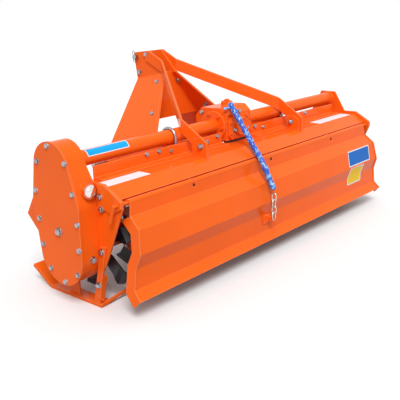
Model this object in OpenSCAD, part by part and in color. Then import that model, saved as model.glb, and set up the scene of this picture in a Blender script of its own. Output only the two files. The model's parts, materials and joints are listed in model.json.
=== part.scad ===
// Three point hitch rotary tiller with a side gear case and a hinged rear shield.
// X points to the machine's right, Y forward, Z up. The skids stand on Z = 0.
// The sizes below count Y from the rotor axis, and every piece is then moved to the origin.

/* [Working width] */
// Length of the rear shield at its hinge
shield_l = 1970; // [1700:10:2200]
// Free gap between each shield end and its side plate at the hinge
shield_gap = 40; // [34:1:46]
// Thickness of the side plates
plate_t = 8; // [6:1:12]

/* [Drive line] */
// Height of the rotor axis over the ground
rotor_z = 240; // [238:1:255]
// Distance from the rotor axis up to the drive tube axis
drive_rise = 388; // [376:1:400]
// Outer diameter of the drive tubes
tube_d = 70; // [60:1:76]
// Depth of the gear case behind its cover
case_depth = 90; // [70:1:110]
// Thickness of the gear case cover
cover_t = 10; // [6:1:14]
// Radius of the gear case round the tube axis
case_top_r = 106; // [96:1:112]
// Radius of the gear case round its middle gear
case_mid_r = 145; // [135:1:150]
// Radius of the gear case round the rotor axis
case_low_r = 130; // [120:1:135]
// Overhang of the cover round the case
cover_lip = 4; // [2:1:8]
// Forward lean of the gear case from the rotor axis to the tube axis
case_lean = 22; // [14:1:28]

/* [Gearbox] */
// Width of the gearbox housing between the tube flanges
box_w = 200; // [180:2:230]
// Height of the housing top over the tube axis
box_up = 92; // [80:1:100]
// Diameter of the tube flanges
tube_flange_d = 150; // [130:2:160]
// Thickness of the tube flanges
tube_flange_t = 14; // [10:1:18]
// Height of the input shaft under the tube axis
input_drop = 86; // [82:1:90]
// Diameter of the input shaft stub
stub_d = 35; // [30:1:38]
// Length of the input shaft stub in front of the housing
stub_l = 85; // [70:1:95]

/* [Rotor] */
// Radius of the circle that the blade tips sweep
rotor_r = 232; // [220:1:234]
// Number of blade flanges
flange_n = 9; // [7:1:10]
// Blades on each flange
blade_n = 6; // [4:2:6]
// Diameter of the rotor tube
rotor_d = 90; // [80:1:100]
// Diameter of the blade flanges
flange_d = 216; // [200:2:230]
// Thickness of the blade flanges
flange_t = 10; // [8:1:14]
// Reach of a blade to the side of its flange
blade_w = 76; // [60:1:84]
// Thickness of a blade
blade_t = 7; // [6:1:10]
// Turn of each flange against the one before it
blade_turn = 20; // [10:1:30]
// Diameter of the journals at the rotor ends
journal_d = 50; // [44:1:56]
// Radial running clearance of every shaft
run_fit = 0.05; // [0.02:0.01:0.09]

/* [Hood] */
// Height of the flat hood top
hood_z = 542; // [536:1:550]
// Thickness of the hood sheet
hood_t = 5; // [4:1:6]
// Leg length of the angle beam on the hood
beam_leg = 58; // [50:1:60]
// Thickness of the angle beam
beam_t = 8; // [6:1:10]

/* [Shield] */
// Thickness of the shield sheet
shield_t = 4; // [3:0.5:5]
// Outward run of the shield ends for each unit that they drop
shield_flare = 0.15; // [0.1:0.01:0.18]
// Width of the end cheeks
cheek_w = 44; // [30:1:50]
// Thickness of the end cheeks
cheek_t = 5; // [4:1:8]
// Diameter of the hinge rod
rod_d = 16; // [14:1:18]
// Wall of the hinge barrels
barrel_wall = 6; // [5:1:7]
// Free gap between a hinge barrel and the hood lug beside it
barrel_gap = 6; // [5:1:10]

/* [Mast and hitch] */
// Clear width of the mast head
head_gap = 80; // [60:1:90]
// Thickness of the mast plates
mast_t = 12; // [8:1:14]
// Height of the mast head over the ground
head_z = 986; // [954:2:1010]
// Outward run of the mast plates for each unit under their bend
mast_splay = 0.82; // [0.76:0.01:0.86]
// Slope of the bend line of the mast plates, in degrees
bend_slope = 12; // [8:0.5:14]
// Thickness of the mast web
web_t = 8; // [6:1:12]
// Width of the strut bars
strut_w = 56; // [50:1:58]
// Thickness of the strut bars
strut_t = 10; // [8:1:12]
// Distance between the outer faces of the hitch arms
hitch_spread = 825; // [800:1:850]
// Thickness of the hitch arms
arm_t = 12; // [10:1:16]
// Side of the square cross bar
bar_s = 60; // [50:1:64]
// Diameter of the top link pin
top_pin_d = 25; // [22:0.5:26]
// Diameter of the lower link pins
low_pin_d = 28; // [26:0.5:30]
// Length of the lower link pins
low_pin_l = 95; // [80:1:110]
// Diameter of the U bolt rods
u_rod_d = 14; // [10:1:16]

/* [Skids] */
// Width of the skid soles
skid_w = 62; // [50:1:70]
// Thickness of the skid soles
skid_t = 14; // [10:1:16]
// Width of the upright skid bars
upright_w = 33; // [28:1:36]
// Thickness of the upright skid bars
upright_t = 10; // [8:1:12]
// Height of the tie bar section
tie_h = 14; // [10:1:16]

/* [Chain] */
// Radius of the chain sleeve
sleeve_r = 14; // [11:0.5:15]
// Inner length of one chain link
link_l = 34; // [30:1:36]
// Thickness of the chain link rod
link_t = 7; // [6:0.5:8]

/* [Hidden] */

fit = 0.3;
plate_in = shield_l / 2 + shield_gap;
plate_out = plate_in + plate_t;
tube_z = rotor_z + drive_rise;
tube_r = tube_d / 2;
input_z = tube_z - input_drop;
mid_z = rotor_z + drive_rise * 0.54;
paint = [0.93, 0.42, 0.17];
steel = [0.62, 0.62, 0.64];
black = [0.06, 0.06, 0.07];
blue = [0.2, 0.39, 0.78];
$fn = 64;

// Hood profile from its rear edge to its front edge, outer face
hood_top = [[-256, hood_z - 44], [-190, hood_z], [-53, hood_z], [140, hood_z - 70], [340, hood_z - 195]];
// Hinge axis under the rear edge of the hood
hinge = [-268, hood_z - 60];
rod_r = rod_d / 2;
barrel_r = rod_r + barrel_wall;
// Shield profile from the hinge barrels down to the lip, outer face
shield_pts = [hinge + [1 - barrel_r, 0], hinge + [-16, -56], hinge + [-70, -100], hinge + [-88, -200],
  hinge + [-66, -262], hinge + [-66, -352], hinge + [-104, -390]];
shield_low = shield_pts[6][1];
// Half length of the shield at a height, to the outer faces of its cheeks
function shield_half(z) = shield_l / 2 + shield_flare * (hinge[1] - z);
// Hood lugs between the hinge barrels
lug_x = [-0.6, 0, 0.6] * shield_l / 2;
lug_t = 8;

arm_out = hitch_spread / 2;
arm_in = arm_out - arm_t;
saddle_t = 12;
saddle_w = 78;
saddle_z = tube_z - tube_r - saddle_t;
u_x = arm_in + 46;
bar_y = 470;
bar_z = 400;
bar_top = bar_z + bar_s;
head_in = head_gap / 2;
crease_y = 500;
crease_z = head_z - 140;
low_pin = [bar_y + bar_s / 2, bar_z + bar_s / 2];
top_pin = [598, head_z - 40];

bearing_h = 58;
head_front = 622;
chain_off = 112;
link_half = 12;
// The frame's origin lies under the middle of the whole machine
mid_x = (plate_out + bearing_h - (plate_out + case_depth + cover_t)) / 2;
mid_y = (head_front + hinge[0] - chain_off - link_half - link_t / 2) / 2;

beam_y = -53;
saddle_front = 55;
sole_x = plate_out + upright_t - skid_w;
heel_y = -127;
upright_foot = heel_y + 6;
upright_lean = 0.23;
upright_top = rotor_z + 46;

// Moves a finished piece from the rotor's place to the frame's origin
module placed() {
  translate([-mid_x, -mid_y, 0])
    children();
}

// Turns a drawing in Y and Z into a plate from x along +X
module yz(x, t) {
  translate([x, 0, 0])
    rotate([90, 0, 90])
      linear_extrude(t)
        children();
}

// Turns a drawing in X and Z into a plate from y along +Y
module xz(y, t) {
  translate([0, y + t, 0])
    rotate([90, 0, 0])
      linear_extrude(t)
        children();
}

// Round bar along X
module rod_x(x0, x1, p, r) {
  translate([x0, p[0], p[1]])
    rotate([0, 90, 0])
      cylinder(r = r, h = x1 - x0);
}

// Round bar along Y
module rod_y(y0, y1, x, z, r) {
  translate([x, y0, z])
    rotate([-90, 0, 0])
      cylinder(r = r, h = y1 - y0);
}

// Round bar between two points
module rod_between(a, b, r) {
  v = b - a;
  translate(a)
    rotate([0, acos(v[2] / norm(v)), atan2(v[1], v[0])])
      cylinder(r = r, h = norm(v));
}

function side_of(a, b) = let (d = (b - a) / norm(b - a)) [-d[1], d[0]];

function shifted(p, i, t) =
  i == 0 ? p[0] + t * side_of(p[0], p[1]) :
  i == len(p) - 1 ? p[i] + t * side_of(p[i - 1], p[i]) :
  let (n = side_of(p[i - 1], p[i]), m = side_of(p[i], p[i + 1])) p[i] + t * (n + m) / (1 + n * m);

// Closed outline of a bent strip with thickness t on the left of its path
function strip(p, t) = concat(p, [for (i = [len(p) - 1:-1:0]) shifted(p, i, t)]);

function on_circle(c, r, a) = c + r * [cos(a), sin(a)];

// Plate round two circles with two straight sides just inside their tangents, from x along +X
module belt(x, t, c, r, d, s) {
  a = atan2(d[1] - c[1], d[0] - c[0]);
  b = acos((r - s) / norm(d - c));
  e = r - 0.2;
  f = s - 0.2;
  rod_x(x, x + t, c, r);
  rod_x(x, x + t, d, s);
  yz(x, t)
    polygon([on_circle(c, e, a - b), on_circle(d, f, a - b), on_circle(d, f, a + b), on_circle(c, e, a + b)]);
}

// Middle line of the gear case, which leans forward
function case_y(z) = case_lean * (z - rotor_z) / drive_rise - 4;

// Outline of the gear case with an extra margin
module case_form(x, t, extra) {
  top = [case_y(tube_z), tube_z - 14];
  middle = [case_y(mid_z), mid_z];
  low = [case_y(rotor_z), rotor_z];
  belt(x, t, top, case_top_r + extra, middle, case_mid_r + extra);
  belt(x, t, middle, case_mid_r + extra, low, case_low_r + extra);
}

module gear_case() {
  cap_z = mid_z + 78;
  color(paint) placed()
    difference() {
      union() {
        case_form(-plate_out - case_depth, case_depth, 0);
        rod_y(-case_mid_r - 4, -60, -plate_out - case_depth * 0.4, cap_z, 30);
      }
      rod_x(-plate_out - case_depth * 0.6, -plate_out + 1, [0, rotor_z], journal_d / 2 + run_fit);
    }
}

module gear_case_cover() {
  color(paint) placed()
    case_form(-plate_out - case_depth - cover_t, cover_t, cover_lip);
}

// Side plate outline shared by both sides
module side_plate(x) {
  tower = tube_z + 42;
  difference() {
    union() {
      yz(x, plate_t)
        polygon([[hinge[0] - 22, hinge[1] - 16], [hinge[0] - 22, hinge[1] + 18], [-262, hood_z - 24],
          [-193, hood_z + 14], [-118, hood_z + 14], [-48, tower], [48, tower], [116, hood_z - 2],
          [300, hood_z - 120], [356, hood_z - 210], [272, rotor_z + 8], [190, rotor_z - 90],
          [-150, rotor_z - 75], [-198, rotor_z + 20]]);
      rod_x(x, x + plate_t, [0, rotor_z], 132);
      yz(x, plate_t)
        polygon([[20, skid_t], [90, skid_t], [90, rotor_z], [20, rotor_z]]);
    }
    rod_x(x - 1, x + plate_t + 1, [0, rotor_z], journal_d / 2 + run_fit);
    rod_x(x - 1, x + plate_t + 1, hinge, rod_r + fit);
  }
}

module left_side_plate() {
  color(paint) placed()
    side_plate(-plate_out);
}

module right_side_plate() {
  color(paint) placed()
    side_plate(plate_in);
}

module hood_ends() {
  color(paint) placed()
    for (x = [-plate_out - beam_t, plate_out])
      difference() {
        yz(x, beam_t)
          polygon([[-158, hood_z + 14], [-193, hood_z + 14], [-262, hood_z - 24], [hinge[0] - 22, hinge[1] + 18],
            [hinge[0] - 22, hinge[1] - 12], [-262, hood_z - 88], [-235, hood_z - 104], [-200, hood_z - 92],
            [-158, hood_z - 100]]);
        rod_x(x - 1, x + beam_t + 1, hinge, rod_r + fit);
      }
}

// One drive tube with a flange at the gearbox and one at the side plate
module drive_tube() {
  rod_x(box_w / 2, plate_in, [0, tube_z], tube_r);
  rod_x(box_w / 2, box_w / 2 + tube_flange_t, [0, tube_z], tube_flange_d / 2);
  rod_x(plate_in - tube_flange_t, plate_in, [0, tube_z], tube_r + 7);
}

module left_tube() {
  color(paint) placed()
    mirror([1, 0, 0])
      drive_tube();
}

module right_tube() {
  color(paint) placed()
    drive_tube();
}

box_back = -76;
box_front = 128;
module gearbox_housing() {
  top = tube_z + box_up;
  nose_y = box_front + 78;
  lug_mid = -64;
  color(paint) placed()
    difference() {
      union() {
        yz(-box_w / 2, box_w)
          polygon([[box_back, hood_z + 12], [-45, hood_z + 12], [60, hood_z - 32], [box_front, hood_z - 52],
            [box_front, tube_z + 40], [box_front - 40, top - 6], [box_back + 34, top], [box_back, top - 30]]);
        rod_y(box_front, box_front + 16, 0, input_z, 62);
        rod_y(box_front, nose_y, 0, input_z, 54);
        translate([0, 0, top - 12])
          cylinder(r = 30, h = 32);
        xz(box_back - 8, 40)
          polygon([[lug_mid - 28, top - 34], [lug_mid - 28, top], [lug_mid - 16, top + 14], [lug_mid + 16, top + 14],
            [lug_mid + 28, top], [lug_mid + 28, top - 34]]);
      }
      rod_y(box_front - 40, nose_y + 1, 0, input_z, stub_d / 2 + 4 + run_fit);
      rod_y(box_back - 10, box_back + 40, lug_mid, top + 1, 7);
    }
}

cover_w = box_w - 16;
rear_cover_t = 14;
module gearbox_rear_cover() {
  low = hood_z + 16;
  high = tube_z + box_up - 40;
  color(paint) placed()
    union() {
      xz(box_back - rear_cover_t, rear_cover_t)
        polygon([[-cover_w / 2, low + 20], [-cover_w / 2 + 20, low], [cover_w / 2 - 20, low], [cover_w / 2, low + 20],
          [cover_w / 2, high - 30], [cover_w / 2 - 30, high], [-cover_w / 2 + 30, high], [-cover_w / 2, high - 30]]);
      rod_y(box_back - rear_cover_t - 10, box_back - rear_cover_t, 0, (low + high) / 2, 48);
    }
}

// Flat lug that holds the hinge rod under the rear edge of the hood
module rod_lug(x) {
  difference() {
    union() {
      yz(x - lug_t / 2, lug_t)
        polygon([hood_top[0] + [3, -hood_t], hood_top[1] + [-6, -hood_t - 3], [-230, hinge[1] - 14],
          hinge + [0, -barrel_r + 1], hinge + [-4, barrel_r - 1]]);
      rod_x(x - lug_t / 2, x + lug_t / 2, hinge, barrel_r);
    }
    rod_x(x - lug_t, x + lug_t, hinge, rod_r + fit);
  }
}

lug_front = beam_y - beam_leg - 6;
module hood() {
  color(paint) placed()
    union() {
      yz(-plate_in, 2 * plate_in)
        polygon(strip(hood_top, -hood_t));
      for (x = lug_x)
        rod_lug(x);
      for (s = [-1, 1])
        yz(s > 0 ? arm_in - strut_t : -arm_in, strut_t)
          polygon([[-190, hood_z - 1], [lug_front, hood_z - 1], [lug_front, hood_z + 78], [-150, hood_z + 78],
            [-190, hood_z + 62]]);
    }
}

beam_start = box_w / 2 + tube_flange_t + 6;
beam_l = plate_in - 55 - beam_start;
module hood_beam() {
  color(paint) placed()
    for (x = [-beam_start - beam_l, beam_start])
      yz(x, beam_l)
        polygon([[beam_y - beam_leg, hood_z], [beam_y, hood_z], [beam_y, hood_z + beam_leg],
          [beam_y - beam_t, hood_z + beam_leg], [beam_y - beam_t, hood_z + beam_t],
          [beam_y - beam_leg, hood_z + beam_t]]);
}

// Puts a piece on the sloping bend line of the mast plates
module on_crease() {
  translate([0, crease_y, crease_z])
    rotate([-bend_slope, 0, 0])
      children();
}

function mast_inner(d) = head_in + mast_splay * d;

// Bent mast side plate: upright head, then splayed out to the cross bar and the hitch arm
mast_drop = 1.2 * (crease_z - bar_z);
module mast_side() {
  path = [[head_in, head_z - crease_z + 120], [head_in, 0], [mast_inner(mast_drop), -mast_drop]];
  difference() {
    intersection() {
      on_crease()
        xz(-400, 600)
          polygon(strip(path, mast_t));
      yz(0, arm_in)
        polygon([[160, bar_top + 18], [398, crease_z + 29], [500, head_z], [head_front, head_z - 14],
          [600, crease_z - 20], [558, bar_top], [bar_y, bar_top]]);
    }
    rod_x(0, head_in + mast_t + 20, top_pin, top_pin_d / 2 + fit);
  }
}

module mast_left() {
  color(paint) placed()
    mirror([1, 0, 0])
      mast_side();
}

module mast_right() {
  color(paint) placed()
    mast_side();
}

web_drop = 0.62 * (crease_z - bar_top);
module mast_web() {
  color(paint) placed()
    intersection() {
      yz(-arm_in, 2 * arm_in)
        polygon(strip([[411, crease_z - web_drop - 40], [424, crease_z + 40]], -web_t));
      on_crease()
        xz(-300, 400)
          polygon([[-mast_inner(web_drop), -web_drop], [mast_inner(web_drop), -web_drop], [head_in, 0],
            [head_in, 10], [-head_in, 10], [-head_in, 0]]);
    }
}

module top_link_pin() {
  color(steel) placed()
    union() {
      rod_x(-head_in - mast_t - 24, head_in + mast_t + 6, top_pin, top_pin_d / 2);
      rod_x(head_in + mast_t + 6, head_in + mast_t + 14, top_pin, top_pin_d / 2 + 7);
    }
}

// Flat bar on edge, bent in plan and in side view, with a foot that stands on the hood
foot_y = hood_top[1][0] - 15;
foot_z = hood_z + 15 * (hood_top[0][1] - hood_z) / (hood_top[1][0] - hood_top[0][0]);
strut_top = [[500, head_z], [378, head_z - 62], [-54, tube_z + 80], [foot_y, hood_z + 71]];
strut_low = [for (i = [2, 1, 0]) shifted(strut_top, i, strut_w)];
strut_end = strut_top[3] - strut_top[2];
strut_knee = strut_low[0] + (lug_front - strut_low[0][0]) / strut_end[0] * strut_end;
module strut() {
  run = [[head_in + mast_t, 520], [head_in + mast_t, 400], [arm_in, -50], [arm_in, foot_y - 10]];
  intersection() {
    translate([0, 0, hood_z - 40])
      linear_extrude(head_z)
        polygon(strip(run, strut_t));
    yz(0, arm_out)
      polygon(concat(strut_top, [[foot_y, foot_z], hood_top[1], [lug_front, hood_z], strut_knee], strut_low));
  }
}

module strut_left() {
  color(paint) placed()
    mirror([1, 0, 0])
      strut();
}

module strut_right() {
  color(paint) placed()
    strut();
}

// Arm from the saddle under the tube to the cross bar
module hitch_arm() {
  end = bar_y + bar_s;
  union() {
    yz(arm_in, arm_t)
      polygon([[-45, saddle_z], [60, saddle_z], [bar_y - 30, bar_top + 18], [end + 10, bar_top + 18],
        [end + 14, bar_z - 15], [bar_y - 15, bar_z - 15], [-45, hood_z + 10]]);
    difference() {
      translate([arm_in, beam_y, saddle_z])
        cube([saddle_w, saddle_front - beam_y, saddle_t]);
      for (s = [-1, 1])
        translate([u_x, s * (tube_r + fit + u_rod_d / 2), saddle_z - 1])
          cylinder(r = u_rod_d / 2 + fit, h = saddle_t + 2);
    }
  }
}

module hitch_arm_left() {
  color(paint) placed()
    mirror([1, 0, 0])
      hitch_arm();
}

module hitch_arm_right() {
  color(paint) placed()
    hitch_arm();
}

module hitch_bar() {
  color(paint) placed()
    translate([-arm_in, bar_y, bar_z])
      cube([2 * arm_in, bar_s, bar_s]);
}

module lower_pins() {
  color(steel) placed()
    for (s = [-1, 1])
      rod_x(s > 0 ? arm_out : -arm_out - low_pin_l, s > 0 ? arm_out + low_pin_l : -arm_out, low_pin, low_pin_d / 2);
}

module u_bolts() {
  ring = tube_r + fit + u_rod_d / 2;
  leg = tube_z - saddle_z + 26;
  color(steel) placed()
    for (x = [-u_x, u_x])
      translate([x, 0, tube_z])
        rotate([0, 0, 90])
          union() {
            rotate([90, 0, 0])
              rotate_extrude(angle = 180)
                translate([ring, 0])
                  circle(r = u_rod_d / 2);
            for (s = [-1, 1])
              translate([s * ring, 0, -leg])
                cylinder(r = u_rod_d / 2, h = leg);
          }
}

module hinge_rod() {
  end = plate_out + beam_t + 16;
  elbow = [-end, hinge[0], hinge[1]];
  color(paint) placed()
    union() {
      rod_x(-end, end - 4, hinge, rod_r);
      translate(elbow)
        sphere(r = rod_r + 0.5);
      rod_between(elbow, elbow + [0, 26, -72], rod_r);
    }
}

// Sole from the heel to the upturned nose
module skid(x) {
  yz(x, skid_w)
    polygon(strip([[heel_y, 0], [215, 0], [340, 78]], skid_t));
}

module skid_left() {
  color(paint) placed()
    skid(-sole_x - skid_w);
}

module skid_right() {
  color(paint) placed()
    skid(sole_x);
}

// Leaning angle bar from the heel of a skid up to the side plate, on the right side
module skid_upright() {
  leg = 30;
  back = -upright_lean * (upright_top - skid_t);
  cut = rotor_z - 90;
  cut_back = -upright_lean * (cut - skid_t);
  union() {
    yz(plate_out, upright_t)
      polygon([[upright_foot, skid_t], [upright_foot + upright_w, skid_t], [upright_foot + upright_w + back, upright_top],
        [upright_foot + back, upright_top]]);
    yz(plate_out + upright_t - leg, leg)
      polygon([[upright_foot, skid_t], [upright_foot + 8, skid_t], [upright_foot + 8 + cut_back, cut],
        [upright_foot + cut_back, cut]]);
  }
}

module skid_upright_left() {
  color(paint) placed()
    mirror([1, 0, 0])
      skid_upright();
}

module skid_upright_right() {
  color(paint) placed()
    skid_upright();
}

module skid_tie() {
  end = plate_out + upright_t;
  tie_t = 8;
  color(paint) placed()
    xz(heel_y - tie_t, tie_t)
      polygon(strip([[-end, 3], [-end + 130, 22], [end - 130, 22], [end, 3]], tie_h));
}

module rotor_bearing() {
  color(paint) placed()
    difference() {
      union() {
        rod_x(plate_out, plate_out + 16, [0, rotor_z], 92);
        rod_x(plate_out, plate_out + bearing_h, [0, rotor_z], 62);
      }
      rod_x(plate_out - 1, plate_out + 44, [0, rotor_z], journal_d / 2 + run_fit);
    }
}

// Chain path from the gearbox lug over the hood and down the shield
sleeve_pts = [[-84, box_back - 24, tube_z + box_up + 12], [-97, -252, hood_z - 8], [-128, hinge[0] - 52, hinge[1] + 4],
  [-122, hinge[0] - 98, hinge[1] - 97], [-116, hinge[0] - chain_off, hinge[1] - 130]];
module chain_sleeve() {
  color(blue) placed()
    union() {
      for (i = [0:len(sleeve_pts) - 2]) {
        rod_between(sleeve_pts[i], sleeve_pts[i + 1], sleeve_r);
        translate(sleeve_pts[i + 1])
          sphere(r = sleeve_r + 1);
      }
    }
}

link_n = 4;
link_in = link_half - link_t / 2;
link_sag = link_in - sqrt(link_in * link_in - link_t * link_t / 4);
link_pitch = link_l - 2 * link_sag - 0.4;
// One flat link with round ends, its length along Z
module link() {
  straight = link_l - 2 * link_in;
  difference() {
    union() {
      for (s = [-1, 1])
        rod_x(-link_t / 2, link_t / 2, [0, s * straight / 2], link_half + link_t / 2);
      translate([-link_t / 2, -link_half - link_t / 2, -straight / 2])
        cube([link_t, 2 * link_half + link_t, straight]);
    }
    for (s = [-1, 1])
      rod_x(-link_t, link_t, [0, s * straight / 2], link_in);
    translate([-link_t, -link_in, -straight / 2])
      cube([2 * link_t, 2 * link_in, straight]);
  }
}

chain_low = sleeve_pts[4];
first_link_z = chain_low[2] - sleeve_r - 1 - fit - link_l / 2 - link_t;
module chain_links() {
  color(steel) placed()
    for (i = [0:link_n - 1])
      translate([chain_low[0], chain_low[1], first_link_z - i * link_pitch])
        rotate([0, 0, (link_n - i) % 2 == 0 ? 0 : 90])
          link();
}

flange_pitch = (2 * plate_in - 130) / (flange_n - 1);
function flange_x(i) = (i - (flange_n - 1) / 2) * flange_pitch;
rotor_end = plate_in - 40;
module rotor_shaft() {
  color(paint) placed()
    union() {
      rod_x(-rotor_end, rotor_end, [0, rotor_z], rotor_d / 2);
      rod_x(-plate_out - case_depth * 0.55, plate_out + 40, [0, rotor_z], journal_d / 2);
      for (i = [0:flange_n - 1])
        rod_x(flange_x(i) - flange_t / 2, flange_x(i) + flange_t / 2, [0, rotor_z], flange_d / 2);
    }
}

// Swept blade on the right face of a flange, its root down, its tip bent to +X
module blade() {
  root = rotor_d / 2 + 6;
  tip = rotor_r - 9;
  bend = tip - 44;
  side = [[flange_t / 2, root], [flange_t / 2, bend], [flange_t / 2 + 8, bend + 24], [flange_t / 2 + 26, tip - 4],
    [flange_t / 2 + blade_w, tip]];
  intersection() {
    rotate([0, 0, 90])
      xz_flip()
        polygon(strip(side, -blade_t));
    yz(0, blade_w + flange_t)
      polygon([[-26, -root], [-30, -bend + 60], [-22, -bend], [0, -tip + 8], [34, -tip - 4], [62, -tip - 9 + 16],
        [70, -tip + 26], [44, -bend + 14], [30, -bend + 60], [26, -root]]);
  }
}

// Turns a drawing of side reach against radius into a slab across the blade, radius down
module xz_flip() {
  rotate([0, 0, -90])
    translate([0, 100, 0])
      rotate([90, 0, 0])
        mirror([0, 1, 0])
          linear_extrude(200)
            children();
}

function hand(i, k) = i == 0 ? 1 : i == flange_n - 1 ? -1 : k % 2 == 0 ? 1 : -1;

// All blades of one hand, as separate pieces on their flanges
module blades(side) {
  for (i = [0:flange_n - 1], k = [0:blade_n - 1])
    if (hand(i, k) == side)
      translate([flange_x(i), 0, rotor_z])
        rotate([i * blade_turn + k * 360 / blade_n, 0, 0])
          mirror([side > 0 ? 0 : 1, 0, 0])
            blade();
}

module blades_left_hand() {
  color(black) placed()
    blades(-1);
}

module blades_right_hand() {
  color(black) placed()
    blades(1);
}

barrel_ends = concat([cheek_t - shield_l / 2], lug_x, [shield_l / 2 - cheek_t]);
notch = lug_t / 2 + barrel_gap;
// Slanted outline in X and Z that the shield ends follow, inset from the outer faces
module shield_outline(inset) {
  high = hinge[1] + barrel_r;
  low = shield_low - shield_t;
  polygon([[inset - shield_half(high), high], [inset - shield_half(low), low], [shield_half(low) - inset, low],
    [shield_half(high) - inset, high]]);
}

module shield_panel() {
  color(paint) placed()
    difference() {
      union() {
        intersection() {
          yz(-shield_l, 2 * shield_l)
            polygon(strip(shield_pts, shield_t));
          xz(hinge[0] - 2 * cheek_w - 100, 2 * cheek_w + 200)
            shield_outline(cheek_t);
        }
        for (i = [0:len(barrel_ends) - 2]) {
          x0 = barrel_ends[i] + (i == 0 ? 0 : notch);
          x1 = barrel_ends[i + 1] - (i == len(barrel_ends) - 2 ? 0 : notch);
          rod_x(x0, x1, hinge, barrel_r);
        }
      }
      rod_x(-shield_l, shield_l, hinge, rod_r + run_fit);
      for (x = lug_x)
        translate([x - notch, hinge[0] - 60, hinge[1] - barrel_r - barrel_gap])
          cube([2 * notch, 120, 60]);
    }
}

// End cheek: proud of the panel at the back, cut to a smooth line in front
cheek_front = [for (i = [len(shield_pts) - 1:-1:1]) shifted(shield_pts, i, cheek_w)];
cheek_back = [for (i = [1:len(shield_pts) - 1]) shifted(shield_pts, i, -5)];
cheek_low = shield_low - 60;
module shield_cheeks() {
  color(paint) placed()
    for (s = [0, 1])
      mirror([s, 0, 0])
        intersection() {
          yz(0, shield_l)
            polygon(concat(cheek_back, cheek_front));
          xz(hinge[0] - 200, 400)
            polygon([[shield_half(hinge[1]) - cheek_t, hinge[1]], [shield_half(cheek_low) - cheek_t, cheek_low],
              [shield_half(cheek_low), cheek_low], [shield_half(hinge[1]), hinge[1]]]);
        }
}

hook_r = 3.6;
hook_z = first_link_z - (link_n - 1) * link_pitch - link_l / 2 + hook_r + fit;
// Outer face of the shield at the height of the chain bracket
function face_y(z) = let (a = shield_pts[4], b = shield_pts[5]) a[0] + (z - a[1]) / (b[1] - a[1]) * (b[0] - a[0]);
module chain_bracket() {
  pad_t = 8;
  pad_w = 56;
  tab_t = 10;
  low = hook_z - 30;
  high = hook_z + 12;
  tab_y = chain_low[1] + link_t / 2 + 5;
  color(paint) placed()
    union() {
      yz(chain_low[0] - pad_w / 2, pad_w)
        polygon([[face_y(low), low], [face_y(high), high], [face_y(high) - pad_t, high], [face_y(low) - pad_t, low]]);
      yz(chain_low[0] - tab_t / 2, tab_t)
        polygon([[face_y(low) - 1, low + 2], [face_y(high) - 1, high - 2], [tab_y, hook_z + 8], [tab_y, hook_z - 8]]);
      rod_y(chain_low[1] - 12, face_y(hook_z) - 1, chain_low[0], hook_z, hook_r);
    }
}

module input_shaft() {
  nose_y = box_front + 78;
  color(steel) placed()
    union() {
      rod_y(box_front - 30, nose_y, 0, input_z, stub_d / 2 + 4);
      rod_y(nose_y, nose_y + stub_l, 0, input_z, stub_d / 2);
    }
}

gear_case();
gear_case_cover();
left_side_plate();
right_side_plate();
hood_ends();
left_tube();
right_tube();
gearbox_housing();
gearbox_rear_cover();
hood();
hood_beam();
mast_left();
mast_right();
mast_web();
top_link_pin();
strut_left();
strut_right();
hitch_arm_left();
hitch_arm_right();
hitch_bar();
lower_pins();
u_bolts();
hinge_rod();
skid_left();
skid_right();
skid_upright_left();
skid_upright_right();
skid_tie();
rotor_bearing();
chain_sleeve();
chain_links();
rotor_shaft();
blades_left_hand();
blades_right_hand();
shield_panel();
shield_cheeks();
chain_bracket();
input_shaft();
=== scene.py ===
import json
from math import cos, pi, radians, sin

import bmesh
import bpy
from mathutils import Matrix, Vector
from mathutils.geometry import interpolate_bezier


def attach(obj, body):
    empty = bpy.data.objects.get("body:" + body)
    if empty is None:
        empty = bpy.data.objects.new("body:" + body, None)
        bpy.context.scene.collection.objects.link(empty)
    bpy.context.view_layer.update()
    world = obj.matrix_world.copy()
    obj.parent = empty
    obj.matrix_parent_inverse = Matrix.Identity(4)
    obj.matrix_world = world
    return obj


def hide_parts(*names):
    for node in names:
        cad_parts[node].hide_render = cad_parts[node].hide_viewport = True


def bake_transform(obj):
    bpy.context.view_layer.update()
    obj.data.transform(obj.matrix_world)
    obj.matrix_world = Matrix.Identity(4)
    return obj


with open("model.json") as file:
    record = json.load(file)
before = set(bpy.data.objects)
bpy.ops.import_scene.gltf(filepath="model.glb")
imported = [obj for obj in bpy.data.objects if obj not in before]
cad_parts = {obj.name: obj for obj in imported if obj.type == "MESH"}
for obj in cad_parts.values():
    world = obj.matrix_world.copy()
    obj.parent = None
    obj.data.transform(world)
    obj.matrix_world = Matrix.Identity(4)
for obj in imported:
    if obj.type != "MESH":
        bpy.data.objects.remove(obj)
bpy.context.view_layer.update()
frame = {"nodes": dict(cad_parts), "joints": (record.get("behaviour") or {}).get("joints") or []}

SCENE = bpy.context.scene
MM = 0.001

RIGHT, LEFT = Vector((1, 0, 0)), Vector((-1, 0, 0))
FRONT, BACK = Vector((0, 1, 0)), Vector((0, -1, 0))
UP, DOWN = Vector((0, 0, 1)), Vector((0, 0, -1))
SIDES = ((-1, LEFT), (1, RIGHT))

# Places below are in millimetres from the rotor axis, with heights from the ground.
ROTOR = next(Vector(j["pos_m"]) for j in frame["joints"] if j["name"] == "rotor_spin")
ROTOR_Z = 240
TUBE_Z, TUBE_R = 628, 35
HOOD_Z = 542
HOOD_END_X = 1041
HINGE_Y, HINGE_Z = -268, 482
LINK_HALF, LINK_T, LINK_STRAIGHT, LINK_PITCH = 12, 7, 17, 32.1


def at(x, y, z):
    """A place counted from the rotor's middle and the ground, in the part's frame."""
    return Vector((ROTOR.x + x * MM, ROTOR.y + y * MM, z * MM))


# Nodes of a finish

COLOR, VALUE = "NodeSocketColor", "NodeSocketFloat"
BEVEL_SAMPLES = 6


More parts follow.
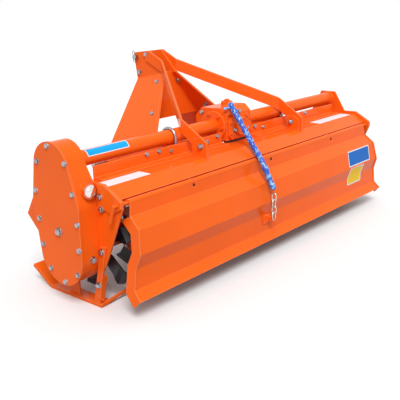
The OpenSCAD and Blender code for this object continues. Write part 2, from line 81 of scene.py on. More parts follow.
def linear(r, g, b):
    """A screen colour out of 255 as the colour a shader reads."""
    def channel(c):
        c /= 255
        return c / 12.92 if c <= 0.04045 else ((c + 0.055) / 1.055) ** 2.4
    return (channel(r), channel(g), channel(b), 1)


def put(tree, kind, values=None, **settings):
    """A new node with its settings and its sockets' own values."""
    made = tree.nodes.new(kind)
    for key, value in settings.items():
        setattr(made, key, value)
    for key, value in (values or {}).items():
        made.inputs[key].default_value = value
    return made


def feed(tree, socket, source):
    """Gives a socket what comes from another node, or a value of its own."""
    if isinstance(source, bpy.types.NodeSocket):
        tree.links.new(source, socket)
    else:
        socket.default_value = source


def noise(tree, scale, detail, roughness, distortion=0.0):
    """A noise that stays with the object."""
    place = put(tree, "ShaderNodeTexCoord")
    made = put(tree, "ShaderNodeTexNoise", {"Scale": scale, "Detail": detail, "Roughness": roughness,
                                            "Distortion": distortion})
    tree.links.new(place.outputs["Object"], made.inputs["Vector"])
    return made.outputs["Fac"]


def remap(tree, source, span=(0.0, 1.0), result=(0.0, 1.0)):
    """A value brought from one span to another and held there."""
    made = put(tree, "ShaderNodeMapRange", {"From Min": span[0], "From Max": span[1],
                                            "To Min": result[0], "To Max": result[1]})
    tree.links.new(source, made.inputs["Value"])
    return made.outputs["Result"]


def compute(tree, operation, *sources):
    """A sum, a product or the like of two or three values."""
    made = put(tree, "ShaderNodeMath", operation=operation)
    for socket, source in zip(made.inputs, sources):
        feed(tree, socket, source)
    return made.outputs[0]


def mix(tree, kind, factor, a, b):
    """Two colours or values mixed by a factor."""
    made = put(tree, "ShaderNodeMix", data_type=kind)
    tree.links.new(factor, made.inputs["Factor"])
    feed(tree, made.inputs["A"], a)
    feed(tree, made.inputs["B"], b)
    return made.outputs["Result"]


def any_ray(tree, *kinds):
    """A mask for rays of any of these kinds."""
    rays = put(tree, "ShaderNodeLightPath")
    mask = rays.outputs[kinds[0]]
    for kind in kinds[1:]:
        mask = compute(tree, "MAXIMUM", mask, rays.outputs[kind])
    return mask


def new_group(name, inputs):
    """An empty shader group with named sockets, what comes in and what goes out."""
    tree = bpy.data.node_groups.new(name, "ShaderNodeTree")
    for socket, kind, value in inputs:
        tree.interface.new_socket(socket, in_out="INPUT", socket_type=kind).default_value = value
    for socket, kind in (("Color", COLOR), ("Roughness", VALUE), ("Height", VALUE)):
        tree.interface.new_socket(socket, in_out="OUTPUT", socket_type=kind)
    return tree, tree.nodes.new("NodeGroupInput").outputs, tree.nodes.new("NodeGroupOutput").inputs


def make_coat_group():
    """Sprayed coat: slow colour drift, settled dust, fine peel, a rough patchwork and edges paled by a painted
    highlight.
    """
    tree, given, result = new_group("sprayed_coat", [
        ("Color", COLOR, (1, 1, 1, 1)), ("Dust", VALUE, 0.1), ("Roughness", VALUE, 0.25),
        ("Edge Color", COLOR, (1, 1, 1, 1)), ("Edge", VALUE, 0.0)])
    link = tree.links.new
    drift = noise(tree, 2.3, 3.0, 0.5)
    grime = noise(tree, 14.0, 6.0, 0.62)
    peel = noise(tree, 260.0, 2.0, 0.5)

    toned = put(tree, "ShaderNodeHueSaturation")
    link(given["Color"], toned.inputs["Color"])
    link(remap(tree, drift, (0.3, 0.7), (0.93, 1.04)), toned.inputs["Value"])
    dust = compute(tree, "MULTIPLY", remap(tree, grime, (0.52, 0.75)), given["Dust"])
    dusted = mix(tree, "RGBA", dust, toned.outputs["Color"], linear(176, 128, 96))

    # An edge is where the rounded normal turns away from the flat one. Edges get a painted highlight there: the
    # pale Edge Color mixed in.
    surface = put(tree, "ShaderNodeNewGeometry")
    rounded = put(tree, "ShaderNodeBevel", {"Radius": 0.005}, samples=BEVEL_SAMPLES)
    agree = put(tree, "ShaderNodeVectorMath", operation="DOT_PRODUCT")
    link(surface.outputs["Normal"], agree.inputs[0])
    link(rounded.outputs["Normal"], agree.inputs[1])
    rim = remap(tree, agree.outputs["Value"], (0.8, 0.975), (1.0, 0.0))
    painted_edge_highlight = compute(tree, "MULTIPLY", rim, given["Edge"])
    link(mix(tree, "RGBA", painted_edge_highlight, dusted, given["Edge Color"]), result["Color"])

    rough = compute(tree, "MULTIPLY_ADD", dust, 0.9, given["Roughness"])
    wavy = remap(tree, drift, result=(-0.04, 0.04))
    link(compute(tree, "ADD", rough, wavy), result["Roughness"])
    link(peel, result["Height"])
    return tree


def make_metal_group():
    """Plated or turned metal: cloudy colour, stained patches and fine scratches."""
    tree, given, result = new_group("plated_metal", [
        ("Color", COLOR, (0.6, 0.6, 0.6, 1)), ("Stain", COLOR, (0.4, 0.35, 0.3, 1)),
        ("Amount", VALUE, 0.4), ("Roughness", VALUE, 0.35)])
    link = tree.links.new
    cloud = noise(tree, 38.0, 5.0, 0.6)
    fine = noise(tree, 420.0, 3.0, 0.6)
    stained = compute(tree, "MULTIPLY", remap(tree, cloud, (0.42, 0.72)), given["Amount"])
    link(mix(tree, "RGBA", stained, given["Color"], given["Stain"]), result["Color"])
    link(compute(tree, "MULTIPLY_ADD", fine, 0.22, given["Roughness"]), result["Roughness"])
    link(fine, result["Height"])
    return tree


COAT = make_coat_group()
PLATED = make_metal_group()


# Finishes

def blank_material(name, values):
    """A material with its main node's own values, its tree and that node."""
    made = bpy.data.materials.new(name)
    made.use_nodes = True
    body = made.node_tree.nodes["Principled BSDF"]
    for key, value in values.items():
        body.inputs[key].default_value = value
    return made, made.node_tree, body


def new_material(name, group, sockets, relief, edge, values):
    """Colour, roughness and fine relief from a group, with edges softened by a radius in metres.
    Relief is its strength and its depth in metres."""
    made, tree, body = blank_material(name, values)
    link = tree.links.new
    skin = put(tree, "ShaderNodeGroup", sockets, node_tree=group)
    bump = put(tree, "ShaderNodeBump", {"Strength": relief[0], "Distance": relief[1]})
    rounding = put(tree, "ShaderNodeBevel", {"Radius": edge}, samples=BEVEL_SAMPLES)
    link(rounding.outputs["Normal"], bump.inputs["Normal"])
    link(skin.outputs["Height"], bump.inputs["Height"])
    link(bump.outputs["Normal"], body.inputs["Normal"])
    link(skin.outputs["Color"], body.inputs["Base Color"])
    link(skin.outputs["Roughness"], body.inputs["Roughness"])
    return made


def gloss(specular, weight, roughness, ior):
    """A clear top layer over a paint that shines little by itself."""
    return {"Specular IOR Level": specular, "Coat Weight": weight, "Coat Roughness": roughness, "Coat IOR": ior}


def coat(name, color, dust, roughness, relief, edge, values, rim=0.0):
    """A sprayed finish. Rim says how strongly a painted highlight pales its edges."""
    # Edge Color is the colour of the painted highlight on the edges.
    sockets = {"Color": linear(*color), "Dust": dust, "Roughness": roughness, "Edge": rim,
               "Edge Color": linear(255, 176, 118)}
    return new_material(name, COAT, sockets, relief, edge, values)


def metal(name, color, stain, amount, roughness, relief, edge):
    """A bare or plated metal with stains of a second colour."""
    sockets = {"Color": linear(*color), "Stain": linear(*stain), "Amount": amount, "Roughness": roughness}
    return new_material(name, PLATED, sockets, relief, edge, {"Metallic": 1.0})


def print_film(name, color, dust, roughness):
    """The face of a stuck-on label."""
    return coat(name, color, dust, roughness, (0.03, 0.0004), 0.0003, {"Specular IOR Level": 0.15})


ORANGE = (250, 102, 22)
orange_paint = coat("orange_paint", ORANGE, 0.05, 0.34, (0.03, 0.0006), 0.0025, gloss(0.02, 0.9, 0.1, 1.2), 0.6)
orange_cast = coat("orange_cast", ORANGE, 0.06, 0.4, (0.12, 0.001), 0.006, gloss(0.03, 0.7, 0.16, 1.2), 0.3)
skid_paint = coat("skid_paint", ORANGE, 0.2, 0.4, (0.08, 0.0008), 0.003, gloss(0.03, 0.6, 0.2, 1.2), 0.5)
weld_paint = coat("weld_paint", (246, 98, 22), 0.16, 0.34, (0.1, 0.0008), 0.0006, gloss(0.1, 0.3, 0.15, 1.3))
blade_black = coat("blade_black", (30, 30, 36), 0.06, 0.36, (0.1, 0.0008), 0.0015, gloss(0.4, 0.15, 0.2, 1.5))
zinc = metal("zinc", (176, 178, 184), (112, 105, 96), 0.6, 0.2, (0.1, 0.0005), 0.0008)
polished_steel = metal("polished_steel", (236, 228, 224), (212, 190, 178), 0.4, 0.06, (0.04, 0.0004), 0.001)
turned_steel = metal("turned_steel", (178, 178, 182), (120, 108, 96), 0.6, 0.24, (0.15, 0.0006), 0.001)
chain_steel = metal("chain_steel", (216, 214, 208), (150, 138, 120), 0.5, 0.2, (0.1, 0.0005), 0.0008)
# Black rubber for the input seal, and painted shade for the block under the gearbox.
black_rubber_and_shade = coat("black_rubber_and_shade", (26, 26, 28), 0.1, 0.5, (0.1, 0.0006), 0.0006, {})
label_white = print_film("label_white", (236, 236, 240), 0.03, 0.4)
label_blue = print_film("label_blue", (8, 104, 194), 0.02, 0.35)
label_sky = print_film("label_sky", (20, 166, 232), 0.02, 0.35)
label_yellow = print_film("label_yellow", (246, 206, 24), 0.02, 0.38)


def make_sleeve_film():
    """Clear blue film over a chain: pale streaks, partly the links seen through it and partly painted highlights.
    """
    made, tree, body = blank_material("sleeve_film", {"Alpha": 0.96, "Coat Weight": 0.5, "Coat Roughness": 0.06})
    link = tree.links.new
    folds = noise(tree, 52.0, 2.0, 0.5, 0.6)
    streak_sheen = remap(tree, folds, (0.5, 0.6))
    # The pale blue streaks are painted highlights, partly standing for the links under the film.
    link(mix(tree, "RGBA", streak_sheen, linear(8, 88, 200), linear(120, 186, 246)), body.inputs["Base Color"])
    link(remap(tree, folds, result=(0.32, 0.12)), body.inputs["Roughness"])
    bump = put(tree, "ShaderNodeBump", {"Strength": 0.5, "Distance": 0.003})
    link(folds, bump.inputs["Height"])
    link(bump.outputs["Normal"], body.inputs["Normal"])
    return made


sleeve_film = make_sleeve_film()

NODE_PAINT = {
    "gear_case": orange_cast, "gearbox_housing": orange_cast, "gearbox_rear_cover": orange_cast,
    "rotor_bearing": orange_cast,
    "skid_left": skid_paint, "skid_right": skid_paint, "skid_tie": skid_paint,
    "blades_left_hand": blade_black, "blades_right_hand": blade_black,
    "top_link_pin": zinc, "lower_pins": zinc, "u_bolts": zinc,
}
for name, cad_node in frame["nodes"].items():
    cad_node.data.materials.clear()
    cad_node.data.materials.append(NODE_PAINT.get(name, orange_paint))


# Ways of making a piece

def piece(bm, name, body, finish, smooth=32, merge=True):
    """Turns a finished bmesh into a piece that rides on a body. Finish is one material or several."""
    if merge:
        bmesh.ops.remove_doubles(bm, verts=bm.verts, dist=1e-6)
        bmesh.ops.recalc_face_normals(bm, faces=bm.faces)
    mesh = bpy.data.meshes.new(name)
    bm.to_mesh(mesh)
    bm.free()
    for material in finish if isinstance(finish, list) else [finish]:
        mesh.materials.append(material)
    for face in mesh.polygons:
        face.use_smooth = True
    mesh.set_sharp_from_angle(angle=radians(smooth))
    made = bpy.data.objects.new(name, mesh)
    SCENE.collection.objects.link(made)
    if body:
        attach(made, body)
    return made


def facing(place, direction):
    """A matrix at a place whose Z points in the direction."""
    return Matrix.Translation(place) @ Vector(direction).to_track_quat("Z", "Y").to_matrix().to_4x4()


def edges_of(verts):
    """The edges that meet any of these vertices."""
    return list({edge for vert in verts for edge in vert.link_edges})


def drawn_on(bm, edges):
    """Extrudes edges in place. Gives the new vertices and the new far edges."""
    grown = bmesh.ops.extrude_edge_only(bm, edges=edges)["geom"]
    verts = [g for g in grown if isinstance(g, bmesh.types.BMVert)]
    far = [g for g in grown if isinstance(g, bmesh.types.BMEdge) and all(v in verts for v in g.verts)]
    return verts, far


def step(bm, matrix, low, high, r_low, r_high, segments):
    """A short round or polygonal step between two heights along the matrix's Z."""
    bmesh.ops.create_cone(bm, cap_ends=True, cap_tris=False, segments=segments, radius1=r_low * MM,
                          radius2=r_high * MM, depth=(high - low) * MM,
                          matrix=matrix @ Matrix.Translation((0, 0, (low + high) / 2 * MM)))


def turned(bm, matrix, profile, segments):
    """A turned shape: a profile of (radius, height) spun about the matrix's Z."""
    verts = [bm.verts.new(matrix @ Vector((r * MM, 0, h * MM))) for r, h in profile]
    edges = [bm.edges.new(pair) for pair in zip(verts, verts[1:])]
    bmesh.ops.spin(bm, geom=verts + edges, cent=matrix.translation, axis=matrix.to_3x3() @ UP, angle=2 * pi,
                   steps=segments, use_merge=True)


def bolt(bm, place, direction, size, washer=True, turn=0.0, tail=0):
    """A hexagon head on its washer. Size is the thread's diameter and tail what stands out past the head."""
    m = facing(place, direction) @ Matrix.Rotation(turn, 4, "Z")
    base = 0.18 * size if washer else 0
    if washer:
        turned(bm, m, [(0, -0.02 * size), (1.06 * size, -0.02 * size), (size, base), (0, base)], 20)
    foot, neck, top = base - 0.1, base + 0.5 * size, base + 0.65 * size
    turned(bm, m, [(0, foot), (0.9 * size, foot), (0.9 * size, neck), (0.68 * size, top), (0, top)], 6)
    if tail:
        end = neck + tail
        turned(bm, m, [(0, neck), (0.48 * size, neck), (0.48 * size, end - 1), (0.4 * size, end), (0, end)], 12)


def bolts(name, body, rows, size, tail=0, washer=True, finish=None):
    """One piece with all the bolts of a place: rows of (place, direction)."""
    bm = bmesh.new()
    for i, (place, direction) in enumerate(rows):
        bolt(bm, place, direction, size, washer, 0.7 * i, tail)
    return piece(bm, name, body, finish or zinc)


def bolt_circle(count, radius, z, start=0.0):
    """Places (y, z) round an axis along X at a height. Start is a share of one spacing."""
    angles = [2 * pi * (i + start) / count for i in range(count)]
    return [(radius * sin(a), z + radius * cos(a)) for a in angles]


def weld_scale(bm, matrix, r):
    """One flattened scale of a weld, as the geometry to repeat."""
    verts = bmesh.ops.create_uvsphere(bm, u_segments=6, v_segments=4, radius=r * MM,
                                      matrix=matrix @ Matrix.Diagonal((1.1, 0.95, 0.75, 1)))["verts"]
    faces = {face for vert in verts for face in vert.link_faces}
    return verts + edges_of(verts) + list(faces)


def weld(bm, a, b, r):
    """A run of weld scales from one place to another, each turned a little on the last."""
    run = b - a
    count = max(2, int(run.length / (r * MM * 0.95)))
    scale = weld_scale(bm, facing(a, run), r)
    bmesh.ops.spin(bm, geom=scale, cent=a, axis=run.normalized(), dvec=run / count, angle=0.9 * count,
                   steps=count, use_duplicate=True)


def weld_ring(bm, matrix, radius, r):
    """Weld scales round the matrix's Z."""
    count = int(2 * pi * radius / (1.05 * r))
    start = matrix @ Matrix.Translation((radius * MM, 0, 0)) @ Matrix.Rotation(pi / 2, 4, "X")
    bmesh.ops.spin(bm, geom=weld_scale(bm, start, r), cent=matrix.translation, axis=matrix.to_3x3() @ UP,
                   angle=2 * pi * (count - 1) / count, steps=count - 1, use_duplicate=True)


def curve_through(points, steps):
    """A smooth run through the points, as places."""
    path = [points[0]]
    for i in range(len(points) - 1):
        before, after = points[max(i - 1, 0)], points[min(i + 2, len(points) - 1)]
        pull_a = points[i] + (points[i + 1] - before) / 6
        pull_b = points[i + 1] - (after - points[i]) / 6
        path += interpolate_bezier(points[i], pull_a, pull_b, points[i + 1], steps + 1)[1:]
    return path


def swept(bm, path, radius, segments=10, flat=1.0):
    """A wire or a film along a path: a circle drawn from ring to ring. Radius is a size or a rule of 0 to 1."""
    rings = []
    across = None
    for i, place in enumerate(path):
        along = (path[min(i + 1, len(path) - 1)] - path[max(i - 1, 0)]).normalized()
        across = along.orthogonal() if across is None else across
        across = (across - along * across.dot(along)).normalized()
        r = (radius(i / (len(path) - 1)) if callable(radius) else radius) * MM
        ring = Matrix((across * r, along.cross(across) * r * flat, along)).transposed().to_4x4()
        ring.translation = place
        rings.append(ring)
    start = bmesh.ops.create_circle(bm, cap_ends=True, segments=segments, radius=1, matrix=rings[0])
    loop = edges_of(start["verts"])
    for last, ring in zip(rings, rings[1:]):
        verts, loop = drawn_on(bm, loop)
        bmesh.ops.transform(bm, matrix=ring @ last.inverted(), verts=verts)
    bmesh.ops.holes_fill(bm, edges=loop)


def chain_link(bm, matrix):
    """A link upright in the matrix's YZ plane: a ring spun from a round section, its halves drawn apart."""
    steps = 14
    known = len(bm.verts)
    start = matrix @ Matrix.Rotation(pi / steps, 4, "X") @ Matrix.Translation((0, LINK_HALF * MM, 0))
    section = bmesh.ops.create_circle(bm, segments=8, radius=LINK_T / 2 * MM, matrix=start)["verts"]
    bmesh.ops.spin(bm, geom=section + edges_of(section), cent=matrix.translation, axis=matrix.to_3x3() @ RIGHT,
                   angle=2 * pi, steps=steps, use_merge=True)
    bm.verts.ensure_lookup_table()
    made = bm.verts[known:]
    rise = matrix.to_3x3() @ UP
    for side in (-1, 1):
        half = [v for v in made if side * (v.co - matrix.translation).dot(rise) > 0]
        bmesh.ops.translate(bm, verts=half, vec=rise * side * LINK_STRAIGHT / 2 * MM)


def sheet_along(x0, x1, path):
    """A thin sheet from x0 to x1: an edge drawn along a path of (y, z)."""
    bm = bmesh.new()
    edges = [bm.edges.new([bm.verts.new(at(x, *path[0])) for x in (x0, x1)])]
    for a, b in zip(path, path[1:]):
        verts, edges = drawn_on(bm, edges)
        bmesh.ops.translate(bm, verts=verts, vec=at(0, *b) - at(0, *a))
    return bm


def sheet_round(x0, x1, y, z, radius, first, axis, angle, steps):
    """A thin sheet from x0 to x1 round an axis at (y, z). First is its start in degrees above the front."""
    bm = bmesh.new()
    start = y + radius * cos(radians(first)), z + radius * sin(radians(first))
    ends = [bm.verts.new(at(x, *start)) for x in (x0, x1)]
    bmesh.ops.spin(bm, geom=ends + [bm.edges.new(ends)], cent=at(0, y, z), axis=axis, angle=radians(angle),
                   steps=steps)
    return bm


def label(bm, name, body, field, border, corner=6, thick=0.5):
    """A sheet made a stuck-on label: round corners, a white border and a plain field."""
    corners = [v for v in bm.verts if len(v.link_faces) == 1]
    bmesh.ops.bevel(bm, geom=corners, offset=corner * MM, affect="VERTICES", segments=3, profile=0.5, material=-1)
    bmesh.ops.recalc_face_normals(bm, faces=bm.faces)
    middle = list(bm.faces)
    bmesh.ops.inset_region(bm, faces=middle, thickness=border * MM, use_even_offset=True, use_boundary=True)
    for face in middle:
        face.material_index = 1
    bmesh.ops.solidify(bm, geom=list(bm.faces), thickness=thick * MM)
    return piece(bm, name, body, [label_white, field])


# Camera and light

CAMERA_TURN, CAMERA_DIP, CAMERA_ROLL = 41.126, 16.867, -1.557
camera = bpy.data.objects.new("camera", bpy.data.cameras.new("camera"))
SCENE.collection.objects.link(camera)
SCENE.camera = camera
camera.data.sensor_width = 36
camera.data.lens = 60.99
camera.data.clip_end = 60
camera.location = at(-2751.1, -2199.0, 1273.7)
camera.rotation_euler = (
    Matrix.Rotation(radians(CAMERA_TURN - 90), 3, "Z")
    @ Matrix.Rotation(radians(90 - CAMERA_DIP), 3, "X")
    @ Matrix.Rotation(radians(CAMERA_ROLL), 3, "Z")
).to_euler()

# The sky is seen white and lights the part a little less.
world = bpy.data.worlds.new("studio")
SCENE.world = world
world.use_nodes = True
tree = world.node_tree
sky = tree.nodes["Background"]
sky.inputs["Color"].default_value = (1, 1, 1, 1)
seen = any_ray(tree, "Is Camera Ray", "Is Transmission Ray", "Is Glossy Ray")
tree.links.new(mix(tree, "FLOAT", seen, 0.68, 1.0), sky.inputs["Strength"])
SCENE.view_settings.view_transform = "Standard"

sun = bpy.data.objects.new("key_light", bpy.data.lights.new("key_light", "SUN"))
SCENE.collection.objects.link(sun)
sun.data.energy = 2.3
sun.data.angle = radians(25)
sun.rotation_euler = Vector((0.6, 0.62, -0.95)).to_track_quat("-Z", "Y").to_euler()

# The floor is seen pale and throws little light back.
bm = bmesh.new()
bmesh.ops.create_grid(bm, x_segments=1, y_segments=1, size=20)
floor_mesh = bpy.data.meshes.new("floor")
bm.to_mesh(floor_mesh)
bm.free()
floor = bpy.data.objects.new("floor", floor_mesh)
floor.location.z = -0.0005
SCENE.collection.objects.link(floor)
floor_paint, tree, ground = blank_material("pale_floor", {"Roughness": 0.9, "Specular IOR Level": 0.1})
seen = any_ray(tree, "Is Camera Ray", "Is Glossy Ray")
tree.links.new(mix(tree, "RGBA", seen, (0.3, 0.3, 0.3, 1), (0.9, 0.9, 0.9, 1)), ground.inputs["Base Color"])
floor_mesh.materials.append(floor_paint)


# Gear case, side plates and bearing

COVER_X = -1133
UPRIGHT_X = 1043
BEARING_X, BEARING_END_X = 1049, 1091
COVER_BOLTS = [(24, 706), (101, 633), (-80, 646), (127, 504), (-113, 524), (121, 381), (-130, 400), (107, 268),
               (-128, 288), (70, 166), (-107, 176), (-20, 124)]
bolts("cover_bolts", "frame", [(at(COVER_X, y, z), LEFT) for y, z in COVER_BOLTS], 12)
bolts("cover_plug", "frame", [(at(COVER_X, -7, 347), LEFT)], 18)
bolts("case_plugs", "frame", [(at(-1071, -134, 231), Vector((0, -0.99, -0.11))), (at(-1078, -8, 111), DOWN)], 15)

bm = bmesh.new()
turned(bm, facing(at(-1069, -149, 527.5), BACK),
       [(0, 17), (9, 16.2), (18, 13), (25, 7.5), (28.5, 1), (29, -1), (33, -1), (33, -9), (0, -9)], 36)
piece(bm, "filler_cap", "frame", polished_steel)

END_BOLTS = [(-171, 503), (-172, 450)]
UPRIGHT_BOLTS = [(-160, 263), (-125, 105)]
for side, out in SIDES:
    hand = "left" if side < 0 else "right"
    bolts(f"hood_end_bolts_{hand}", "frame", [(at(side * HOOD_END_X, y, z), out) for y, z in END_BOLTS], 13)
    bolts(f"upright_bolts_{hand}", "frame", [(at(side * UPRIGHT_X, y, z), out) for y, z in UPRIGHT_BOLTS], 14)
bolts("bearing_bolts", "frame", [(at(BEARING_X, y, z), RIGHT) for y, z in bolt_circle(6, 78, ROTOR_Z)], 11)

bm = bmesh.new()
turned(bm, facing(at(BEARING_END_X, 0, ROTOR_Z), RIGHT),
       [(0, 5), (20, 4.6), (34, 3), (40, 0), (41, -4), (0, -4)], 40)
nipple = facing(at(BEARING_END_X + 3, 0, ROTOR_Z), RIGHT)
step(bm, nipple, 0, 5, 6, 6, 6)
step(bm, nipple, 5, 10, 3.2, 2.6, 12)
piece(bm, "bearing_cap", "frame", zinc)


# Gearbox and drive tubes

TUBE_FLANGE_X = 114
REAR_COVER_Y = -90
INPUT_MOUTH = at(0, 206, 542)
bolts("tube_flange_bolts", "frame",
      [(at(side * TUBE_FLANGE_X, y, z), out) for side, out in SIDES for y, z in bolt_circle(6, 62, TUBE_Z, 0.4)],
      10, finish=weld_paint)
REAR_BOLTS = [(-79, 590), (-79, 648), (79, 590), (79, 648), (-46, 570), (46, 570), (-46, 669), (46, 669)]
bolts("rear_cover_bolts", "frame", [(at(x, REAR_COVER_Y, z), BACK) for x, z in REAR_BOLTS], 9, finish=weld_paint)
bolts("housing_bolts", "frame",
      [(at(-100, 86, 690), LEFT), (at(100, 86, 690), RIGHT), (at(4, -76, 694), BACK),
       (at(-49, REAR_COVER_Y, 605), BACK), (at(52, REAR_COVER_Y, 605), BACK)], 11)

# Under the gearbox's rear a black block fills the gap: painted shade, standing in for the shadow there.
PAD_Z, PAD_T = HOOD_Z - 0.5, 13.5
bm = sheet_along(-94, 94, [(-70, PAD_Z), (-48, PAD_Z)])
bmesh.ops.bevel(bm, geom=list(bm.verts), offset=7 * MM, affect="VERTICES", segments=4, profile=0.5, material=-1)
top = bmesh.ops.extrude_face_region(bm, geom=list(bm.faces), use_keep_orig=True)["geom"]
bmesh.ops.translate(bm, verts=[g for g in top if isinstance(g, bmesh.types.BMVert)], vec=UP * PAD_T * MM)
piece(bm, "housing_shade_block", "frame", black_rubber_and_shade)

bm = bmesh.new()
breather = facing(at(0, 0, 740), UP)
step(bm, breather, -1, 6, 17, 17, 6)
turned(bm, breather, [(0, 13), (7, 12.4), (11.5, 10.5), (12.5, 8), (12.5, 5), (0, 5)], 24)
piece(bm, "housing_breather", "frame", weld_paint)

bm = bmesh.new()
turned(bm, facing(at(0, -100, 619), BACK),
       [(0, 3), (18, 3), (20, 1.5), (36, 1.5), (38, 3.5), (44, 3.5), (47, 0), (47, -2), (0, -2)], 40)
piece(bm, "rear_hub_cap", "frame", orange_cast)

bm = bmesh.new()
turned(bm, facing(INPUT_MOUTH, FRONT),
       [(22.6, -3), (22.6, 2), (25, 3.5), (40, 3.5), (44, 2), (45, -3), (22.6, -3)], 40)
piece(bm, "input_seal", "frame", black_rubber_and_shade)

# The splined stub, with a groove between two runs of keys
KEYS, KEY_R, KEY_T, KEY_W = 6, 15.4, 4.2, 8.6
bm = bmesh.new()
stub = facing(INPUT_MOUTH, FRONT)
turned(bm, stub, [(0, -20), (21.5, -20), (21.5, 2), (17.5, 6), (17.5, 14), (14.6, 17), (14.6, 62), (13.2, 64),
                  (13.2, 70), (14.6, 72), (14.6, 82), (12.5, 85), (0, 85)], 36)
for k in range(KEYS):
    spline = stub @ Matrix.Rotation(2 * pi * k / KEYS, 4, "Z")
    for low, high in ((15, 62), (72, 82.5)):
        middle = spline @ Matrix.Translation((KEY_R * MM, 0, (low + high) / 2 * MM))
        size = Matrix.Diagonal((KEY_T * MM, KEY_W * MM, (high - low) * MM, 1))
        key = bmesh.ops.create_cube(bm, size=1, matrix=middle @ size)["verts"]
        bmesh.ops.bevel(bm, geom=edges_of(key), offset=0.8 * MM, affect="EDGES", segments=2, profile=0.5,
                        material=-1)
input_stub = piece(bm, "input_stub", "input", turned_steel)
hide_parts("input_shaft")


# Mast, struts and hitch

PLATE_OUTWARD, PLATE_T = Vector((-0.77, 0.13, 0.62)), 12
MAST_BOLTS = [(-88, 414, 823), (-220, 328, 677)]
HEAD_X, HEAD_BOLTS = -52, [(525, 964), (580, 866)]
rows = []
for side in (1, -1):
    turn = Vector((side, 1, 1))
    for x, y, z in MAST_BOLTS:
        rows.append((at(side * x, y, z), PLATE_OUTWARD * turn))
        inner = Vector((x, y, z)) - PLATE_OUTWARD * PLATE_T
        rows.append((at(side * inner.x, inner.y, inner.z), -PLATE_OUTWARD * turn))
    rows += [(at(side * HEAD_X, y, z), LEFT if side > 0 else RIGHT) for y, z in HEAD_BOLTS]
bolts("mast_bolts", "frame", rows, 13)

BEAM_Y, BEAM_BOLTS = -61, [(159, 588), (237, 573), (500, 577), (580, 590), (660, 590)]
bolts("beam_bolts", "frame", [(at(side * x, BEAM_Y, z), BACK) for side in (-1, 1) for x, z in BEAM_BOLTS], 11)
bolts("strut_bolts", "frame",
      [(at(-410.5, -168, 593), LEFT), (at(-390.5, -168, 593), RIGHT),
       (at(390.5, -140, 584), LEFT), (at(410.5, -140, 584), RIGHT)], 15, tail=8)
U_BOLT_X, U_BOLT_Y, U_BOLT_Z = 446.5, 42.3, 581
bolts("u_bolt_nuts", "frame",
      [(at(side * U_BOLT_X, y, U_BOLT_Z), DOWN) for side in (-1, 1) for y in (-U_BOLT_Y, U_BOLT_Y)], 11,
      tail=12, washer=False)

TOP_PIN_Y, TOP_PIN_Z = 598, 946
CLIP_WIRE = [(0, -30), (0, -8), (0, 12), (0, 26), (6, 36), (15, 35), (19, 27), (15, 18), (15.5, 6), (16, -4),
             (13, -14), (17, -26)]
bm = bmesh.new()
swept(bm, curve_through([at(-68, TOP_PIN_Y + y, TOP_PIN_Z + z) for y, z in CLIP_WIRE], 5), 2.2, 8)
piece(bm, "top_pin_clip", "frame", zinc)

# Each lower pin's clip is a short pin with a head and a spring ring.
LOWER_PIN_X, LOWER_PIN_Y, LOWER_PIN_Z = 490, 500, 430
RING_ANGLES = [pi / 2 + 2 * pi * k / 18 for k in range(18)]
bm = bmesh.new()
for side in (-1, 1):
    x = side * LOWER_PIN_X
    swept(bm, [at(x, LOWER_PIN_Y, LOWER_PIN_Z + h) for h in (-22, -10, 4, 18, 23)], 4.2, 10)
    step(bm, facing(at(x, LOWER_PIN_Y, LOWER_PIN_Z + 21), UP), 0, 9, 7, 5.5, 14)
    ring = [at(x + side, LOWER_PIN_Y + 21 * cos(a), LOWER_PIN_Z + 25 * sin(a)) for a in RING_ANGLES]
    swept(bm, curve_through(ring, 2), 2, 8)
piece(bm, "lower_pin_clips", "frame", zinc)


# Hinge of the shield

bm = sheet_round(-1022, 1022, HINGE_Y, HINGE_Z, 21.5, 46, LEFT, 100, 10)
bmesh.ops.recalc_face_normals(bm, faces=bm.faces)
bmesh.ops.solidify(bm, geom=list(bm.faces), thickness=1.5 * MM)
piece(bm, "hinge_gutter", "frame", orange_paint, smooth=40)

COTTER_X = HOOD_END_X + 7
COTTER_WIRE = [(0, 19), (4, 15), (1.4, 9), (1.2, -8), (2, -14), (9, -22)]
bm = bmesh.new()
turned(bm, facing(at(HOOD_END_X, HINGE_Y, HINGE_Z), RIGHT),
       [(8.2, 0), (15, 0), (15, 2.6), (8.2, 2.6), (8.2, 0)], 24)
for lean in (-1, 1):
    wire = [at(COTTER_X + lean * 0.8, HINGE_Y + lean * y, HINGE_Z + z) for y, z in COTTER_WIRE]
    swept(bm, curve_through(wire, 4), 1.3, 8)
piece(bm, "hinge_rod_cotter", "frame", zinc)


# Rotor

FLANGES, FLANGE_PITCH, FLANGE_TURN, BLADES = 9, 240, 20, 6
FLANGE_X = [(i - FLANGES // 2) * FLANGE_PITCH for i in range(FLANGES)]
BLADE_BOLT_R = (65, 92)


def blade_hand(flange, blade):
    """The side of the flange that a blade is on: inward at the end flanges, in turn on the others."""
    if flange in (0, FLANGES - 1):
        return 1 if flange == 0 else -1
    return 1 if blade % 2 == 0 else -1


bm = bmesh.new()
for i, x in enumerate(FLANGE_X):
    for k in range(BLADES):
        hand = blade_hand(i, k)
        angle = radians(i * FLANGE_TURN + k * 360 / BLADES)
        for r in BLADE_BOLT_R:
            y, z = r * sin(angle), ROTOR_Z - r * cos(angle)
            bolt(bm, at(x + hand * 12, y, z), RIGHT * hand, 12, False, angle)
            bolt(bm, at(x - hand * 5, y, z), RIGHT * -hand, 12, False, angle + 0.4, 5)
piece(bm, "blade_bolts", "rotor", zinc)

bm = bmesh.new()
for x in FLANGE_X:
    for face in (-5.5, 5.5):
        weld_ring(bm, facing(at(x + face, 0, ROTOR_Z), RIGHT), 46, 5)
piece(bm, "rotor_welds", "rotor", weld_paint, merge=False)


# Welds of the frame and of the shield

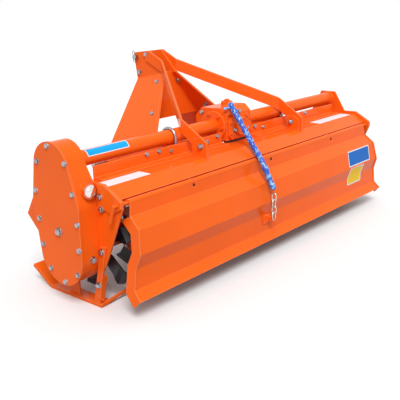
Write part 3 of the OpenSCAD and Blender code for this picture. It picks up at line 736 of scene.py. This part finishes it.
WELD_Z = HOOD_Z + 1
bm = bmesh.new()
for side in (-1, 1):
    for x in (390, 411):
        weld(bm, at(side * x, -188, WELD_Z), at(side * x, -119, WELD_Z), 3.5)
    weld(bm, at(side * 230, 410, 628), at(side * 44, 422, 860), 4)
    for x in (TUBE_FLANGE_X + 0.5, 1011):
        weld_ring(bm, facing(at(side * x, 0, TUBE_Z), RIGHT), TUBE_R + 1, 4)
    weld(bm, at(side * 1044, -152, 44), at(side * 1044, -124, 44), 3.5)
for x in (-74, -54):
    weld(bm, at(x, -60, 718), at(x, -20, 718), 3.5)
piece(bm, "frame_welds", "frame", weld_paint, merge=False)

BRACKET_Y = -336
bm = bmesh.new()
for x in (-145, -87):
    weld(bm, at(x, BRACKET_Y, 175), at(x, BRACKET_Y, 213), 3)
weld(bm, at(-144, BRACKET_Y, 216), at(-88, BRACKET_Y, 216), 3)
piece(bm, "bracket_welds", "shield", weld_paint, merge=False)


# Chain with its film sleeve, from the gearbox lug to the shield

FILM_FROM, LINKS_FROM, LINKS_TO = 6, 10, -6
chain_run = curve_through([at(-72, -84, 733), at(-84, -100, 729), at(-91, -176, 632), at(-99, -252, 537),
                           at(-126, -318, 482), at(-123, -366, 388), at(-116, -380, 352)], 24)

bm = bmesh.new()
for i in range(4):
    quarter = Matrix.Rotation(0 if i % 2 == 0 else pi / 2, 4, "Z")
    chain_link(bm, Matrix.Translation(at(-116, -380, 312.7 - i * LINK_PITCH)) @ quarter)

# The links inside the film are smaller, each a quarter turn on from the last.
walked = 0
count = 0
for a, b in zip(chain_run[LINKS_FROM:LINKS_TO], chain_run[LINKS_FROM + 1:LINKS_TO]):
    walked += (b - a).length
    if walked > count * LINK_PITCH * MM:
        lie = (b - a).to_track_quat("Z", "X").to_matrix().to_4x4()
        turn = Matrix.Rotation(0.5 + count * pi / 2, 4, "Z") @ Matrix.Scale(0.78, 4)
        chain_link(bm, Matrix.Translation(a) @ lie @ turn)
        count += 1
bare_chain = piece(bm, "bare_chain", None, chain_steel, smooth=60)
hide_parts("chain_links")
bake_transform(bare_chain)


def film_radius(t):
    """The film puffs out over the links and is drawn in at its lower end."""
    return 15 + 1.6 * sin(t * 82) + 0.9 * sin(t * 37) - (4 if t > 0.985 else 0)


bm = bmesh.new()
swept(bm, chain_run[FILM_FROM:], film_radius, 14, 0.95)
swept(bm, curve_through([at(-82, -98, 728), at(-92, -92, 727), at(-106, -84, 724), at(-118, -74, 723)], 6),
      lambda t: 7 + 2 * sin(t * 9), 10, 0.45)
swept(bm, curve_through([at(-80, -98, 726), at(-82, -98, 738), at(-87, -95, 752)], 6),
      lambda t: 8 + 2 * sin(t * 7), 10, 0.5)
film_sleeve = piece(bm, "film_sleeve", None, sleeve_film, smooth=70)
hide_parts("chain_sleeve")
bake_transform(film_sleeve)


# Labels

LABEL_Z = HOOD_Z + 0.4
label(sheet_round(-973, -736, 0, TUBE_Z, TUBE_R + 0.7, 100, RIGHT, 66, 5),
      "tube_label", "frame", label_sky, 4, corner=3)
label(sheet_along(-1014, -762, [(-188, LABEL_Z), (-114, LABEL_Z)]), "hood_label_left", "frame", label_white, 5)
label(sheet_along(622, 980, [(-188, LABEL_Z), (-118, LABEL_Z)]), "hood_label_right", "frame", label_white, 5)
label(sheet_along(684, 934, [(-338.5, 381.5), (-354.8, 291.5)]), "shield_label", "shield", label_blue, 6)
label(sheet_along(700, 860, [(-356.9, 283), (-334.6, 220.3), (-334.6, 176)]),
      "shield_note_label", "shield", label_yellow, 8)
